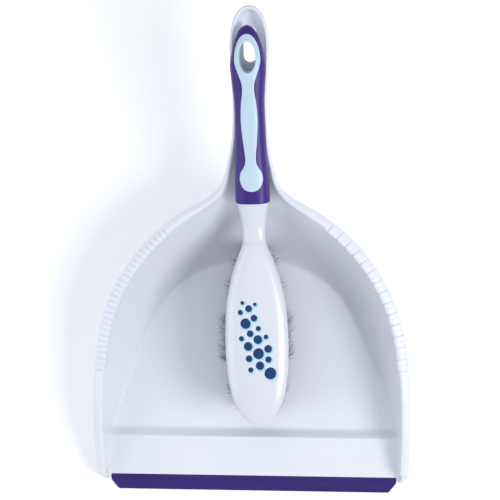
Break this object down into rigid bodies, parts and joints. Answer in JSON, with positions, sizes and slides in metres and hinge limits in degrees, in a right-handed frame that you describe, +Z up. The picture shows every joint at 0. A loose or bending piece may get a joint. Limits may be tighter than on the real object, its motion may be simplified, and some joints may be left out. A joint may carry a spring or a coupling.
{
  "type": "dust pan and brush set",
  "caption": "Dust pan with a domed scoop, soft front lip and trough handle, and a hand brush with a soft grip resting in the trough.",
  "frame": {"origin": "middle of the overall box across and along the pan's lip-to-handle line, at the level of the surface that the pan lies on", "axes": "+Z up, +Y from the front lip back to the handle, +X to the right seen from above with the lip at the bottom"},
  "size_m": [0.2302, 0.347, 0.0924],
  "materials": {
    "pan_plastic": "satin moulded",
    "lip_rubber": "soft matte",
    "brush_plastic": "gloss moulded",
    "grip_rubber": "soft matte",
    "inlay_rubber": "soft satin",
    "staple_wire": "drawn wire",
    "bristle": "drawn filament"
  },
  "bodies": {
    "pan": {"pan_body": "pan_plastic", "pan_lip": "lip_rubber"},
    "brush": {"brush_body": "brush_plastic", "brush_grip": "grip_rubber", "grip_inlay": "inlay_rubber", "tuft_staples": "staple_wire", "tuft_row_01": "bristle", "tuft_row_02": "bristle", "tuft_row_03": "bristle", "tuft_row_04": "bristle", "tuft_row_05": "bristle", "tuft_row_06": "bristle", "tuft_row_07": "bristle", "tuft_row_08": "bristle", "tuft_row_09": "bristle", "tuft_row_10": "bristle", "tuft_row_11": "bristle", "tuft_row_12": "bristle", "tuft_row_13": "bristle", "tuft_row_14": "bristle"}
  },
  "joints": [
    {"name": "brush_lift", "type": "slide", "parent": "pan", "child": "brush", "axis": [0, 0, 1], "range_m": [0, 0.12]}
  ]
}
